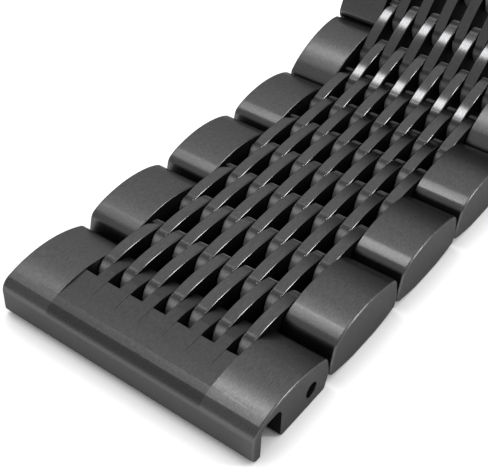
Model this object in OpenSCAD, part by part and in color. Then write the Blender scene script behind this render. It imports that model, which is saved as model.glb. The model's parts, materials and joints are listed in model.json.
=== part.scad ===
// Watch band woven from thin steel plates on cross pins, with wide solid side links,
// solid lug ends and a fold-over clasp. It lies closed and face up. The two halves are
// alike and lie along X, with the clasp's middle over the origin and the table at Z = 0.
// A row is what turns between two neighbouring pins: odd rows are the bridge plates, and
// even rows are a pair of side links with the centre plates that share their pins.

/* [Band] */
// Width over the side links and at the lugs
band_w = 22; // [20:0.5:26]
// Width of the plate mesh between the side links
mesh_w = 13.4; // [12:0.2:15]
// Plates side by side across the mesh, an odd number
plates_across = 13; // [9:2:15]
// Distance between neighbouring pins
pitch = 4.5; // [4.4:0.1:5.4]
// Rows of side links in each half
side_rows = 5; // [4:1:8]

/* [Links and plates] */
// Height of a link or plate at its middle
link_h = 4.2; // [3.8:0.1:4.6]
// Height of the pins over the flat underside
pin_level = 1.4; // [1.3:0.05:1.7]
// Radius of the domed top
dome_r = 10.7; // [9:0.1:16]
// Radius of the rounded underside
belly_r = 16.5; // [12:0.5:30]
// Length of the flat that a link rests on
foot_len = 2.6; // [1.5:0.1:4]
// Radius of the upper corners of side links and lug ends
corner_r = 0.9; // [0.3:0.05:1.1]
// Radius of the edges between their domed tops and side faces
side_edge_r = 0.3; // [0.1:0.05:0.5]
// Gap between the noses of neighbouring side links
nose_gap = 0.2; // [0.15:0.05:0.4]
// Reach of a thin plate past its pins
plate_reach = 1.45; // [1.3:0.05:1.6]
// Radius of a thin plate's round end
plate_end_r = 2.15; // [1.9:0.05:2.4]
// Gap between neighbouring plates
plate_gap = 0.04; // [0.03:0.01:0.1]

/* [Pins] */
// Diameter of a pin
pin_d = 1.1; // [0.9:0.05:1.2]
// Running clearance of a pin in its hole, on the radius
pin_fit = 0.04; // [0.02:0.01:0.08]
// Depth of the blind pin holes in a side link
blind_depth = 3.3; // [2.5:0.1:3.6]
// Gap between a pin's end and the bottom of its blind hole
pin_end_gap = 0.1; // [0.05:0.05:0.3]
// Distance that a through pin ends below the side face
pin_recess = 0.6; // [0.2:0.1:1]

/* [Stops] */
// Bend away from the wrist at which the noses meet
back_stop = 13; // [8:1:16]
// Bend towards the wrist at which the noses meet
wrist_stop = 20; // [14:1:24]

/* [Lug end] */
// Distance from the front lip to the first pin
lug_reach = 6.45; // [6.1:0.05:8]
// Height of the lug end at its crown
lug_h = 3.78; // [3.6:0.05:4.2]
// Radius of the lug end's domed top
lug_dome_r = 9.9; // [9:0.1:14]
// Distance of the crown from the front lip
lug_crown = 4.1; // [3.5:0.1:4.7]
// Radius of the front lip's upper corner
lip_r = 1.1; // [0.8:0.1:1.3]
// Radius of the front lip's lower corner
lip_foot_r = 0.5; // [0.2:0.1:0.7]
// Height of the lip's lower edge over the underside
lip_lift = 0.2; // [0:0.05:0.4]
// Diameter of the spring bar's hole
bar_d = 2; // [1.6:0.1:2]
// Width of the open groove at each end of the hole
groove_w = 2.14; // [2.1:0.02:2.2]
// Radius of the groove's roof corners
groove_corner_r = 0.6; // [0.3:0.05:0.8]
// Radius of the groove's rear lower edge
groove_foot_r = 0.35; // [0.1:0.05:0.5]
// Thickness of the lip in front of the groove
lip_t = 0.85; // [0.75:0.05:1]
// Height of the spring bar's centre over the underside
bar_level = 1.75; // [1.5:0.05:1.8]
// Length of the closed hole in the middle of the lug end
bar_closed = 15; // [10:0.5:18]
// Room in front of a bridge plate in its slot
slot_reach = 2.25; // [2:0.05:2.4]

/* [Rest pose] */
// Rise of the first row that leaves the table
lift_start = 6; // [2:1:10]
// Half the angle of the clasp's arch
arch_half = 34; // [30:1:38]
// Radius of the clasp's arch at the pins
arch_r = 30; // [28:1:40]

/* [Clasp] */
// Width of the clasp's cover
cover_w = 20.4; // [19:0.2:20.4]
// Thickness of the cover
cover_t = 1.1; // [0.8:0.05:1.2]
// Thickness of the cover's side walls
skirt_t = 1.2; // [0.8:0.05:1.4]
// Depth of the side walls below the pins' arc
skirt_drop = 1.2; // [0.8:0.05:1.4]
// Width of the folding blades
blade_w = 13; // [11:0.2:13]
// Thickness of the upper blade
upper_blade_t = 0.9; // [0.7:0.05:1]
// Thickness of the lower blade
lower_blade_t = 1; // [0.8:0.05:1.1]
// Radius of a blade's knuckle
knuckle_r = 1.1; // [1:0.02:1.14]
// Width of the lower blade's knuckle
mid_knuckle_w = 5.6; // [4:0.2:7]
// Gap between moving clasp pieces
clasp_gap = 0.2; // [0.15:0.05:0.3]
// Thickness of the end link's cross bar
crossbar_t = 1.4; // [1.1:0.1:1.8]
// Room behind the last plates' ends
end_play = 0.8; // [0.7:0.05:1]
// Reach of a cheek into the cover's side wall
cheek_lap = 1.5; // [1:0.1:2]
// Wall round the cover's hinge pin
ear_wall = 0.6; // [0.5:0.05:0.8]

/* [Hidden] */
$fn = 96;
HALVES = ["a", "b"];
rows = 2 * side_rows + 1;
raised_rows = 5;
eps = 0.01;
big = 60;

steel = [0.33, 0.33, 0.34];
dark_steel = [0.27, 0.27, 0.28];
bright_steel = [0.45, 0.45, 0.46];

column = mesh_w / plates_across;
plate_t = column - plate_gap;
nose_r = (pitch - nose_gap) / 2;
pin_r = pin_d / 2;
hole_r = pin_r + pin_fit;
side_w = (band_w - mesh_w) / 2;
top_level = link_h - pin_level;
belly_dip = belly_r - sqrt(belly_r * belly_r - foot_len * foot_len / 4);

// Tilt of row j, from the flat rows by the lug to the steep ones by the clasp
function row_tilt(j) =
    let (k = j - (rows - raised_rows))
    k <= 0 ? 0 :
    k < raised_rows ? lift_start + (k - 1) * back_stop :
    (lift_start + (raised_rows - 2) * back_stop + arch_half) / 2;

// Place of pin i of the half whose lip is at X = 0, as [x, z]
function pin_at(i) =
    i == 0 ? [lug_reach, pin_level] :
    pin_at(i - 1) + pitch * [cos(row_tilt(i)), sin(row_tilt(i))];

last_pin = pin_at(rows);
half_len = last_pin[0] + arch_r * sin(arch_half);
arch_z = last_pin[1] - arch_r * cos(arch_half);

// Angle on the clasp's arch that a length along it takes
function arc_deg(len) = len / arch_r * 180 / PI;

end_room = plate_reach + end_play;
hinge_level = arch_r + 0.4;
cover_top = arch_r + top_level;
cover_start = -(arch_half - arc_deg(end_room));
cover_end = arch_half - arc_deg(end_room + crossbar_t + 1.5 * clasp_gap);
ear_r = knuckle_r + ear_wall;
cover_hinge = cover_end - arc_deg(ear_r + clasp_gap);
blade_hinge = -cover_hinge;
lower_blade_top = hinge_level - knuckle_r - clasp_gap;

// An outline in the X-Z plane given a width from y0 to y1
module across(y0, y1) {
    translate([0, y1, 0]) rotate([90, 0, 0]) linear_extrude(y1 - y0) children();
}

// A round pin along Y about the current X-Z place
module cross_pin(r, len) {
    rotate([90, 0, 0]) cylinder(h = len, r = r, center = true);
}

// Half b is half a turned about the vertical
module half(h) {
    rotate([0, 0, h == "b" ? 180 : 0]) translate([-half_len, 0, 0]) children();
}

// The middle of row j, with X along the row and Z = 0 at the pins
module row(h, j) {
    mid = (pin_at(j - 1) + pin_at(j)) / 2;
    half(h) translate([mid[0], 0, mid[1]]) rotate([0, -row_tilt(j), 0]) children();
}

// Both pins of a row
module both_pins() {
    for (s = [-1, 1]) translate([s * pitch / 2, 0]) children();
}

// The rounded, flat-footed underside that links and plates share
module belly() {
    intersection() {
        translate([0, belly_r - pin_level - belly_dip]) circle(belly_r);
        translate([-big / 2, -pin_level]) square([big, big]);
    }
}

// Their domed top, as an outline
module dome() {
    translate([0, top_level - dome_r]) circle(dome_r);
}

// A domed top as wide as the band, with rounded edges, turned about the dome's axis
module rounded_dome(dome_c, r) {
    half_w = band_w / 2;
    flat_w = half_w - side_edge_r;
    translate([dome_c[0], 0, dome_c[1]]) rotate([90, 0, 0]) rotate_extrude($fn = 240) {
        translate([0, -half_w]) square([r - side_edge_r, 2 * half_w]);
        translate([0, -flat_w]) square([r, 2 * flat_w]);
        for (s = [-1, 1]) translate([r - side_edge_r, s * flat_w]) circle(side_edge_r);
    }
}

// Corner points of one end's stop faces, for a pin at the origin and a nose towards +X:
// each flat is square to its stop angle and touches the nose circle
function stop_points(high, low) =
    let (r = nose_r - eps,
         up = r * [cos(back_stop), sin(back_stop)],
         down = r * [cos(wrist_stop), -sin(wrist_stop)])
    [
        [down[0] - (low + down[1]) * tan(wrist_stop), -low],
        down,
        up,
        [up[0] - (high - up[1]) * tan(back_stop), high]
    ];

// Centre of a corner that rounds the upper stop flat into a dome, for a pin at the origin
function corner_centre(dome_c, r_dome) =
    let (n = [cos(back_stop), sin(back_stop)],
         t = [-n[1], n[0]],
         q = (nose_r - eps - corner_r) * n - dome_c,
         s = sqrt(pow(q * t, 2) - q * q + pow(r_dome - corner_r, 2)) - q * t)
    dome_c + q + s * t;

// Outline of one end from its lower stop flat up and over its rounded corner
function end_points(dome_c, r_dome, low) =
    let (c = corner_centre(dome_c, r_dome),
         out = (c - dome_c) / norm(c - dome_c),
         stops = stop_points(top_level, low))
    concat([for (i = [0 : 2]) stops[i]],
           arc_points(c, corner_r, back_stop, atan2(out[1], out[0]), 6),
           [dome_c + (r_dome + link_h) * out]);

// Side link below its dome. Its noses turn about the pins, and its flats stop the bend
module link_body() {
    right_end = end_points([-pitch / 2, top_level - dome_r], dome_r, 2 * pin_level);
    right = [for (p = right_end) p + [pitch / 2, 0]];
    left = [for (i = [len(right) - 1 : -1 : 0]) [-right[i][0], right[i][1]]];
    intersection() {
        belly();
        union() {
            polygon(concat(right, left));
            both_pins() circle(nose_r);
        }
    }
}

// Thin plate, shorter than a side link, so that the mesh stays open between plates
module plate_outline() {
    end_x = pitch / 2 + plate_reach - plate_end_r;
    intersection() {
        dome();
        belly();
        union() {
            translate([-end_x, -big / 2]) square([2 * end_x, big]);
            for (s = [-1, 1]) translate([s * end_x, (top_level - pin_level) / 2]) circle(plate_end_r);
        }
    }
}

// The plates in the mesh's columns from first to last, every second one
module plates(first) {
    for (c = [first : 2 : plates_across]) {
        y = mesh_w / 2 - (c - 0.5) * column;
        across(y - plate_t / 2, y + plate_t / 2) difference() {
            plate_outline();
            both_pins() circle(hole_r);
        }
    }
}

module bridge_plates(h, k) {
    color(steel) row(h, 2 * k - 1) plates(1);
}

module centre_plates(h, k) {
    color(steel) row(h, 2 * k) plates(2);
}

module side_links(h, k) {
    color(steel) row(h, 2 * k) for (s = [-1, 1]) difference() {
        intersection() {
            across(s > 0 ? mesh_w / 2 : -band_w / 2, s > 0 ? band_w / 2 : -mesh_w / 2) link_body();
            rounded_dome([0, top_level - dome_r], dome_r);
        }
        for (p = [-1, 1])
            translate([p * pitch / 2, 0, 0]) cross_pin(hole_r, mesh_w + 2 * blind_depth);
    }
}

module link_pins(h, k) {
    color(bright_steel) row(h, 2 * k) for (p = [-1, 1])
        translate([p * pitch / 2, 0, 0]) cross_pin(pin_r, mesh_w + 2 * (blind_depth - pin_end_gap));
}

// Points on a circle from angle a0 to a1
function arc_points(centre, r, a0, a1, steps) =
    [for (i = [0 : steps]) centre + r * [cos(a0 + (a1 - a0) * i / steps), sin(a0 + (a1 - a0) * i / steps)]];

// Lug end seen from the side, about its pin, with the lip towards -X and without its dome
lug_dome_c = [lug_crown - lug_reach, lug_h - pin_level - lug_dome_r];

module lug_body() {
    front = -lug_reach;
    lip_x = front + lip_r;
    lip_z = lug_dome_c[1] + sqrt(pow(lug_dome_r - lip_r, 2) - pow(lip_x - lug_dome_c[0], 2));
    lip_turn = atan2(lip_z - lug_dome_c[1], lip_x - lug_dome_c[0]);
    lip = arc_points([lip_x, lip_z], lip_r, lip_turn, 180, 8);
    lip_top = lug_dome_c + (lug_dome_r + link_h) * [cos(lip_turn), sin(lip_turn)];
    foot = arc_points([front + lip_foot_r, lip_foot_r + lip_lift - pin_level], lip_foot_r, 180, 270, 5);
    groove_front = [front + lip_t, lip_lift - pin_level];
    groove_rear = [front + lip_t + groove_w, -pin_level];
    union() {
        polygon(concat(end_points(lug_dome_c, lug_dome_r, pin_level), [lip_top], lip, foot,
                       [groove_front, groove_rear]));
        intersection() {
            circle(nose_r);
            translate([-nose_r, -pin_level]) square(2 * big);
        }
    }
}

// What a plate slot or a finger's rounded end takes away behind the solid front
module lug_slots() {
    slot_w = column + plate_gap;
    for (c = [1 : 2 : plates_across]) {
        y = mesh_w / 2 - (c - 0.5) * column;
        y0 = max(y - slot_w / 2, -mesh_w / 2);
        y1 = min(y + slot_w / 2, mesh_w / 2);
        translate([-slot_reach, y0, -big / 2]) cube([big, y1 - y0, big]);
    }
    for (c = [2 : 2 : plates_across]) {
        y = mesh_w / 2 - (c - 0.5) * column;
        across(y - column / 2, y + column / 2) difference() {
            translate([plate_reach - plate_end_r, -big / 2]) square(big);
            translate([plate_reach - plate_end_r, (lug_h - 2 * pin_level) / 2]) circle(plate_end_r);
        }
    }
}

// The groove about the spring bar: a roof with rounded corners, open below
module groove() {
    half_w = groove_w / 2;
    corner = half_w - groove_corner_r;
    foot = bar_level - groove_foot_r;
    translate([-half_w, -big]) square([groove_w, big + corner]);
    translate([-corner, -big]) square([2 * corner, big + half_w]);
    for (s = [-1, 1]) translate([s * corner, corner]) circle(groove_corner_r);
    difference() {
        translate([0, -big]) square([half_w + groove_foot_r, big - foot]);
        translate([half_w + groove_foot_r, -foot]) circle(groove_foot_r);
    }
}

// The spring bar's hole, with an open groove at both ends so that a tool can reach the bar
module bar_hole() {
    translate([lip_t + groove_w / 2 - lug_reach, 0, bar_level - pin_level]) {
        cross_pin(bar_d / 2, 2 * band_w);
        for (y = [-band_w, bar_closed / 2]) across(y, y + band_w - bar_closed / 2) groove();
    }
}

module lug_end(h) {
    color(steel) half(h) translate([lug_reach, 0, pin_level]) difference() {
        intersection() {
            across(-band_w / 2, band_w / 2) lug_body();
            rounded_dome(lug_dome_c, lug_dome_r);
        }
        lug_slots();
        bar_hole();
        cross_pin(hole_r, 2 * band_w);
    }
}

module lug_pin(h) {
    color(bright_steel) half(h) translate([lug_reach, 0, pin_level])
        cross_pin(pin_r, band_w - 2 * pin_recess);
}

// Everything on the arch is drawn about the arch's centre, with angles from the vertical
module arch() {
    translate([0, 0, arch_z]) children();
}

// A curved strip between two angles
module strip(r_in, r_out, a0, a1) {
    far = 2 * r_out;
    mid = (a0 + a1) / 2;
    intersection() {
        difference() {
            circle(r_out, $fn = 180);
            circle(r_in, $fn = 180);
        }
        polygon([[0, 0], far * [sin(a0), cos(a0)], far * [sin(mid), cos(mid)], far * [sin(a1), cos(a1)]]);
    }
}

// A place on the arch at an angle and radius, in the outline's plane
module on_arch(a, r) {
    rotate(-a) translate([0, r]) children();
}

// The end of a half's last side link, carried by the clasp: the nose turns about the bar
// and the body reaches in under the clasp. The near end is towards -X, as on half a.
module clasp_cheek(reach) {
    on_arch(-arch_half, arch_r) intersection() {
        translate([pitch / 2, 0]) intersection() {
            dome();
            link_body();
        }
        translate([-big / 2, -big / 2]) square([big / 2 + reach, big]);
    }
}

// Both side walls of something as wide as outer, as deep as t
module sides(outer, t) {
    for (s = [-1, 1]) across(s > 0 ? outer - t : -outer, s > 0 ? outer : t - outer) children();
}

module clasp_cover() {
    color(steel) arch() difference() {
        union() {
            across(-cover_w / 2, cover_w / 2) strip(cover_top - cover_t, cover_top, cover_start, cover_end);
            sides(cover_w / 2, skirt_t)
                strip(arch_r - skirt_drop, cover_top - cover_t / 2, cover_start, cover_end);
            sides(band_w / 2, side_w) clasp_cheek(end_room + cheek_lap);
            sides(cover_w / 2 - skirt_t / 2, cover_w / 2 - skirt_t / 2 - blade_w / 2 - clasp_gap)
                on_arch(cover_hinge, hinge_level) circle(ear_r);
        }
        across(-band_w, band_w) on_arch(-arch_half, arch_r) circle(hole_r);
        across(-band_w, band_w) on_arch(cover_hinge, hinge_level) circle(hole_r);
    }
}

// A bar through the clasp's cheeks and the last row of bridge plates
module clasp_bar(h) {
    color(bright_steel) arch() across(-band_w / 2 + pin_recess, band_w / 2 - pin_recess)
        on_arch(h == "a" ? -arch_half : arch_half, arch_r) circle(pin_r);
}

module cover_hinge_pin() {
    color(bright_steel) arch() across(-cover_w / 2 + pin_recess / 2, cover_w / 2 - pin_recess / 2)
        on_arch(cover_hinge, hinge_level) circle(pin_r);
}

module upper_blade() {
    notch_w = mid_knuckle_w + 2 * clasp_gap;
    outer_w = (blade_w - notch_w) / 2;
    color(dark_steel) arch() difference() {
        union() {
            across(-blade_w / 2, blade_w / 2) {
                strip(hinge_level - upper_blade_t / 2, hinge_level + upper_blade_t / 2, blade_hinge, cover_hinge);
                on_arch(cover_hinge, hinge_level) circle(knuckle_r);
            }
            sides(blade_w / 2, outer_w) on_arch(blade_hinge, hinge_level) circle(knuckle_r);
        }
        across(-notch_w / 2, notch_w / 2)
            strip(lower_blade_top, cover_top, -arch_half, blade_hinge + arc_deg(knuckle_r + 2 * clasp_gap));
        for (a = [blade_hinge, cover_hinge])
            across(-band_w, band_w) on_arch(a, hinge_level) circle(hole_r);
    }
}

module blade_hinge_pin() {
    color(bright_steel) arch() across(-blade_w / 2, blade_w / 2)
        on_arch(blade_hinge, hinge_level) circle(pin_r);
}

// Lower blade, with its knuckle at one end and at the other the link that half b hangs on
module lower_blade() {
    bottom = lower_blade_top - lower_blade_t;
    bar_back = arch_half - arc_deg(end_room + crossbar_t);
    bar_front = arch_half - arc_deg(end_room);
    knuckle_side = arc_deg(knuckle_r - clasp_gap / 2);
    color(dark_steel) arch() difference() {
        union() {
            across(-blade_w / 2, blade_w / 2) strip(bottom, lower_blade_top, blade_hinge, bar_front);
            across(-mid_knuckle_w / 2, mid_knuckle_w / 2) {
                on_arch(blade_hinge, hinge_level) circle(knuckle_r);
                strip(bottom, hinge_level, blade_hinge - knuckle_side, blade_hinge + knuckle_side);
            }
            across(-band_w / 2, band_w / 2) strip(bottom, cover_top - clasp_gap / 2, bar_back, bar_front);
            sides(band_w / 2, side_w) mirror([1, 0]) clasp_cheek(end_room + crossbar_t / 2);
        }
        across(-band_w, band_w) on_arch(arch_half, arch_r) circle(hole_r);
        across(-band_w, band_w) on_arch(blade_hinge, hinge_level) circle(hole_r);
    }
}

for (h = HALVES) {
    lug_end(h);
    lug_pin(h);
    for (k = [1 : side_rows + 1])
        bridge_plates(h, k);
    for (k = [1 : side_rows]) {
        side_links(h, k);
        centre_plates(h, k);
        link_pins(h, k);
    }
    clasp_bar(h);
}
clasp_cover();
cover_hinge_pin();
upper_blade();
blade_hinge_pin();
lower_blade();
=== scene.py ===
import json
import math

import bpy
from mathutils import Matrix, Vector


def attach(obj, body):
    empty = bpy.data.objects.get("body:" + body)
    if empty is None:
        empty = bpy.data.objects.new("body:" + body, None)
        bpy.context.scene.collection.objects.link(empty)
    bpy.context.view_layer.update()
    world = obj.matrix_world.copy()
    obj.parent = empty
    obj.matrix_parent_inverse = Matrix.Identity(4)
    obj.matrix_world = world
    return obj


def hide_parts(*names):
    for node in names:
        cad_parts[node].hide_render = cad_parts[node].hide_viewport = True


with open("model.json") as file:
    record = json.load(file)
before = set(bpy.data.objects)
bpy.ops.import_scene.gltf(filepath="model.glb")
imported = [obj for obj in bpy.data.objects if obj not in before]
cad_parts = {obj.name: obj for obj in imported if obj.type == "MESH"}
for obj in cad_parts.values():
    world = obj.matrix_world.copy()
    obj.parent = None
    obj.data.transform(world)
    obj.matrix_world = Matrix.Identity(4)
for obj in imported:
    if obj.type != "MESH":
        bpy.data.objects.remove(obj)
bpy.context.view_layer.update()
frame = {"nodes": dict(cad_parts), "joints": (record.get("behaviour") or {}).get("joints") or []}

bl_info = {
    "name": "Woven Plate Watch Band",
    "version": (1, 0, 0),
    "blender": (4, 5, 0),
    "location": "View3D > Sidebar > Watch Band",
    "description": "Builds the steel band's links, plates, lug ends and clasp round their pins",
    "category": "Object",
}

# Pieces are shaped with one unit to the millimetre, then brought down to metres.
MM = 0.001
HALVES = ("a", "b")
ROWS = 11
SIDE_ROWS = 5
JOINT_AT = {j["name"]: Vector(j["pos_m"]) for j in frame["joints"]}

# Steps of the curves.
CIRCLE_STEPS, BELLY_STEPS, SHOULDER_STEPS, NOSE_STEPS, CORNER_STEPS = 216, 60, 12, 6, 9
PLATE_END_STEPS, PLATE_CORNER_STEPS, LIP_STEPS = 9, 7, 9
ROD_STEPS, HOLE_STEPS, LUG_HOLE_STEPS, FINGER_STEPS, MIDDLE_STEPS = 64, 32, 40, 96, 720
# Steps of the rounded edges, of the broken edges, of the finely broken ones and of the groove's roof.
ROUND_SEGMENTS, BREAK_SEGMENTS, FINE_SEGMENTS, ROOF_SEGMENTS = 4, 3, 2, 5

# How near a face or an edge lies to the place that it is picked by, in millimetres.
CLOSE, VERY_CLOSE = 0.01, 0.001
# How far a cutting tool stands out past what it cuts, in millimetres.
SPARE, FINGER_SPARE = 1, 0.05
# How near points lie that are merged, and the shortest edge of an outline, in millimetres.
MERGED, MERGED_BEFORE_BEVEL, SHORTEST_EDGE = 0.0001, 0.002, 0.02
# The same for the CAD nodes' meshes, in metres.
MERGED_CAD = 1e-7
# Faces that turn less than the first are joined, and edges that turn less than the second are shaded round.
FLAT_TURN, ROUND_TURN = math.radians(0.5), math.radians(34)
# Edges that turn more than these are broken, on the lug end and on the CAD nodes' meshes.
LUG_SHARP_TURN, CAD_SHARP_TURN = math.radians(28), math.radians(30)

# The side links' noses and the lug end's stay this much inside the stop radius, in millimetres.
NOSE_SLACK = 0.005
# The belly's arc, the span of a side link's shoulder and the start of a plate's round end, in degrees.
BELLY_ARC, SHOULDER_SPAN, PLATE_END_START = (-120, -60), 36, -48
# Edges this near to a plate's pin hole stay sharp, in millimetres.
HOLE_MARGIN = 0.1
# Where a plate's broken edges start to widen past its pin, over what length they do, and where its polished
# rims end, as shares of the plate's reach.
WIDENING_START, WIDENING_LENGTH, RIM_END = 0.5, 0.35, 0.4
# Widths of the broken edges, in millimetres.
LUG_EDGE, CLASP_EDGE, PIN_CHAMFER = 0.06, 0.12, 0.1
# Half the length of the tool for the lug end's flatter middle, and the fine lines there, in millimetres.
MIDDLE_HALF_LENGTH, TRACE_HALF_WIDTH, TRACE_DEPTH = 3.4, 0.012, 0.05

# How much of a face's normal points the way that its name says.
FLAT_TO_SIDE, OFF_SIDE, TURNED_TO_CLASP = 0.95, 0.9, 0.8
RIM_LEAST_TO_SIDE, RIM_MOST_TO_SIDE, RIM_LEAST_UP = 0.1, 0.99, 0.1

# Brush marks: how often they repeat in a metre along and across, their depth in metres, and their noise.
BRUSH_REPEATS, BRUSH_DEPTH = (2500, 12000, 12000), 0.000004
BRUSH_DETAIL, BRUSH_NOISE_ROUGHNESS, BRUSH_TONES = 3.0, 0.6, (0.3, 0.7)
PIN_ROUGHNESS, PIN_BRUSH = 0.3, 0.05
# Where painted light makes a plate's nose paler, back from its tip, and how much sooner it turns duller, in
# millimetres.
NOSE_PAINTED_LIGHT, NOSE_DULL_SOONER, NOSE_ROUGHNESS = (0.8, 0.3), (0.5, 0.6), 0.8
# Heights over the lug end's pin between which its middle turns darker, in millimetres.
MIDDLE_DARKENS = (0.9, 1.4)

# The paper: its glow, how much more of it the camera sees, and the shade close under the band, in metres.
PAPER_GLOW, CAMERA_GAIN, SHADE_REACH, SHADE_POWER = 0.5, 1.8, 0.008, 2.0
FLOOR_SIZE, FLOOR_LEVEL = 4, -0.00002
# Where the surroundings change, as parts of a direction along X and along Y.
BACK_ALONG_X, SHADE_ALONG_X, SHADE_ALONG_Y = (-0.2, 0.5), (0.62, 0.84), (0.35, 0.45)
# Soft boxes: name, place, what it points at, width and length in metres, and brightness.
SOFT_BOXES = (
    ("near_softbox", (0.02, 0.3, 1), (-0.06, 0, 0), (0.15, 0.4), 7),
    ("far_softbox", (0, 0.75, 1), (-0.06, 0, 0), (0.2, 0.5), 1.5),
    ("side_strip", (0.42, -0.70, 0.55), (-0.04, 0, 0), (0.12, 0.6), 14),
)
# The photograph's camera: its place in millimetres, its focal length and the picture's width in pixels.
CAMERA_AT = (-101.53679, -32.50441, 52.11697)
FOCAL_PIXELS, PHOTO_WIDTH, SENSOR_WIDTH = 1015.4611, 488, 36.0


def pin_at(half, i):
    """Pin i of a half, counted from the lug end."""
    return JOINT_AT[f"pin_{half}{i + 1}"]


def row_place(half, j):
    """Row j's own frame: its origin between the row's pins, X to the clasp and Z away from the wrist."""
    near, far = pin_at(half, j - 1), pin_at(half, j)
    along = (far - near).normalized()
    across = Vector((0, 1 if half == "a" else -1, 0))
    up = along.cross(across)
    turn = Matrix((along, across, up)).transposed().to_4x4()
    return Matrix.Translation((near + far) / 2) @ turn


def lug_place(half):
    """The lug end's own frame, with its pin at the origin."""
    turn = Matrix.Rotation(0 if half == "a" else math.pi, 4, "Z")
    return Matrix.Translation(pin_at(half, 0)) @ turn


def millimetres(name, description, default, least, most):
    """A length that a user can change."""
    return bpy.props.FloatProperty(
        name=name, description=description + ", in millimetres", default=default, min=least, max=most)


class BandSizes(bpy.types.PropertyGroup):
    band_width: millimetres("Band width", "Width over the side links", 22.0, 16, 26)
    mesh_width: millimetres("Mesh width", "Width of the plates between the side links", 13.4, 8, 18)
    columns: bpy.props.IntProperty(
        name="Columns", description="Plates side by side, an odd number", default=13, min=5, max=21)
    plate_gap: millimetres("Plate gap", "Gap between neighbouring plates", 0.04, 0.02, 0.1)
    pitch: millimetres("Pin pitch", "Distance between neighbouring pins", 4.5, 3, 8)
    link_height: millimetres("Link height", "Height of a link at its middle", 4.2, 3, 6)
    pin_level: millimetres("Pin level", "Height of the pins over the underside", 1.4, 1, 2)
    dome_radius: millimetres("Dome radius", "Radius of a link's domed top", 10.7, 8, 20)
    belly_radius: millimetres("Belly radius", "Radius of a link's underside", 16.5, 12, 30)
    foot_length: millimetres("Foot length", "Flat that a link rests on", 2.6, 1, 4)
    nose_gap: millimetres("Nose gap", "Gap between neighbouring side links", 0.2, 0.1, 0.5)
    plate_reach: millimetres("Plate reach", "Reach of a plate past its pins", 1.3, 1, 2)
    finger_reach: millimetres("Finger reach", "Reach of the lug end's fingers past the pin", 1.45, 1, 2)
    plate_corner: millimetres("Plate corner", "Radius of a plate's upper corners", 1.1, 0.3, 1.5)
    plate_dome: millimetres("Plate dome", "Radius of a plate's domed top", 13, 8, 20)
    plate_drop: millimetres(
        "Plate drop", "Height of the side links over the plates at their middle", 0.34, 0, 0.5)
    plate_end_radius: millimetres("Plate end radius", "Radius of a plate's round end", 2.15, 1.5, 3)
    pin_hole: millimetres("Pin hole", "Radius of the pin holes", 0.59, 0.4, 0.8)
    blind_depth: millimetres("Blind depth", "Depth of a side link's pin holes", 3.3, 2, 4)
    edge_break: millimetres("Edge break", "Width of the broken edges", 0.11, 0.02, 0.3)
    plate_edge: millimetres("Plate edge", "Width of a plate's polished edges", 0.1, 0.02, 0.2)
    nose_edge: millimetres("Nose edge", "Radius of the edges round a plate's ends", 0.24, 0.05, 0.48)
    corner_radius: millimetres("Corner radius", "Radius of a link's upper corners", 0.8, 0.1, 1.8)
    shoulder_start: millimetres(
        "Shoulder start", "Where a side link's dome starts to bend down, from its middle", 2.6, 1, 3)
    shoulder_radius: millimetres(
        "Shoulder radius", "Radius of a side link's dome towards its ends", 5.2, 2, 10)
    side_edge: millimetres("Side edge", "Radius between the domed tops and side faces", 0.18, 0.1, 0.5)
    back_stop: bpy.props.FloatProperty(
        name="Back stop", description="Bend away from the wrist at which the noses meet, in degrees",
        default=13, min=5, max=20)
    wrist_stop: bpy.props.FloatProperty(
        name="Wrist stop", description="Bend towards the wrist at which the noses meet, in degrees",
        default=20, min=10, max=30)


class LugSizes(bpy.types.PropertyGroup):
    reach: millimetres("Reach", "Distance from the front lip to the first pin", 6.45, 5, 9)
    height: millimetres("Height", "Height at the crown", 3.78, 3, 5)
    dome_radius: millimetres("Dome radius", "Radius of the domed top", 9.9, 7, 15)
    crown: millimetres("Crown", "Distance of the crown from the front lip", 4.1, 2, 6)
    lip_radius: millimetres("Lip radius", "Radius of the lip's upper corner", 1.1, 0.5, 2)
    lip_foot_radius: millimetres("Lip foot radius", "Radius of the lip's lower corner", 0.5, 0.1, 1)
    lip_lift: millimetres("Lip lift", "Height of the lip's lower edge", 0.2, 0, 0.5)
    bore: millimetres("Spring bar bore", "Radius of the closed bore", 1.0, 0.7, 1.2)
    groove: millimetres("Groove", "Width of the open grooves", 2.14, 1.8, 2.6)
    groove_corner: millimetres("Groove corner", "Radius of the groove's roof corners", 0.6, 0.2, 0.9)
    groove_foot: millimetres("Groove foot", "Radius of the groove's rear lower edge", 0.35, 0.1, 0.6)
    lip: millimetres("Lip", "Thickness of the front lip", 0.85, 0.5, 1.5)
    bar_level: millimetres("Bar level", "Height of the spring bar", 1.75, 1, 2.5)
    closed: millimetres("Closed length", "Length of the closed bore", 15, 8, 20)
    slot_reach: millimetres("Slot reach", "Reach of the plate slots past the pin", 2.25, 2, 3)
    middle_radius: millimetres("Middle radius", "Radius of the flatter middle", 60, 10, 90)
    middle_drop: millimetres("Middle drop", "Depth of the flatter middle at the crown", 0.12, 0, 0.3)
    middle_slope: bpy.props.FloatProperty(
        name="Middle slope",
        description="Fall of the flatter middle towards the lip at the crown, in degrees",
        default=4.5, min=0, max=10)
    trace_length: millimetres("Trace length", "Length of the fine lines in front of the slots", 1.6, 0.5, 3)


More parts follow.
